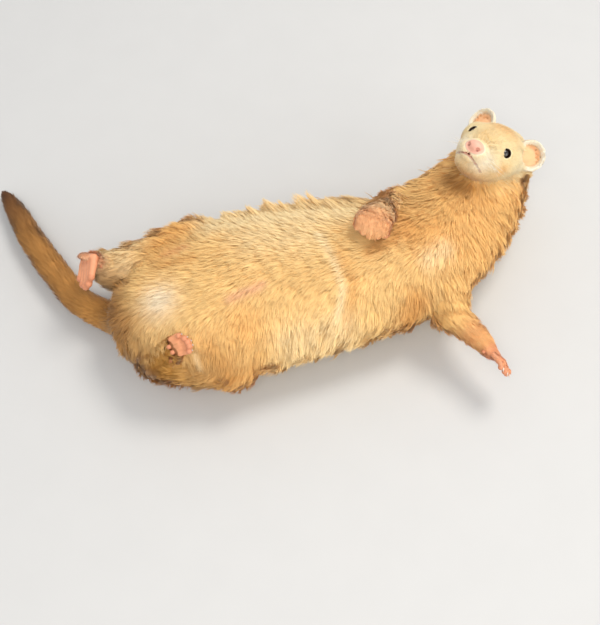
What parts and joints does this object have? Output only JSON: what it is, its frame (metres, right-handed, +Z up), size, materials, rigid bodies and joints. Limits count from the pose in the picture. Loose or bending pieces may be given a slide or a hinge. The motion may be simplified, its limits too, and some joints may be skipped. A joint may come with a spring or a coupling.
{
  "type": "ferret",
  "caption": "Life-size still model of a golden ferret lying on its back with its head raised, for display or as a prop",
  "frame": {"origin": "on the floor, under the middle of the model's bounding box", "axes": "+X along the trunk from the tail to the head, +Y to the ferret's own right side, +Z up, the way the belly faces"},
  "size_m": [0.4147, 0.2689, 0.1124],
  "materials": {
    "golden_fur": "soft golden apricot fur",
    "belly_fur": "soft pale cream fur",
    "face_fur": "short cream fur",
    "tail_fur": "short caramel fur",
    "bare_skin": "bare pink skin, slightly moist on the nose",
    "claw": "translucent horn",
    "eye": "wet and dark"
  },
  "bodies": {
    "root": {"head": "face_fur", "lower_jaw": "face_fur", "nose": "bare_skin", "eye_left": "eye", "eye_right": "eye", "ear_left": "face_fur", "ear_right": "face_fur", "neck": "golden_fur", "chest": "golden_fur", "abdomen": "belly_fur", "pelvis": "golden_fur", "upper_foreleg_left": "golden_fur", "lower_foreleg_left": "golden_fur", "forepaw_left": "bare_skin", "upper_foreleg_right": "golden_fur", "lower_foreleg_right": "golden_fur", "forepaw_right": "bare_skin", "thigh_left": "golden_fur", "shank_left": "golden_fur", "hind_paw_left": "bare_skin", "thigh_right": "golden_fur", "shank_right": "golden_fur", "hind_paw_right": "bare_skin", "tail_root": "tail_fur", "tail_middle": "tail_fur", "tail_tip": "tail_fur"}
  },
  "joints": []
}
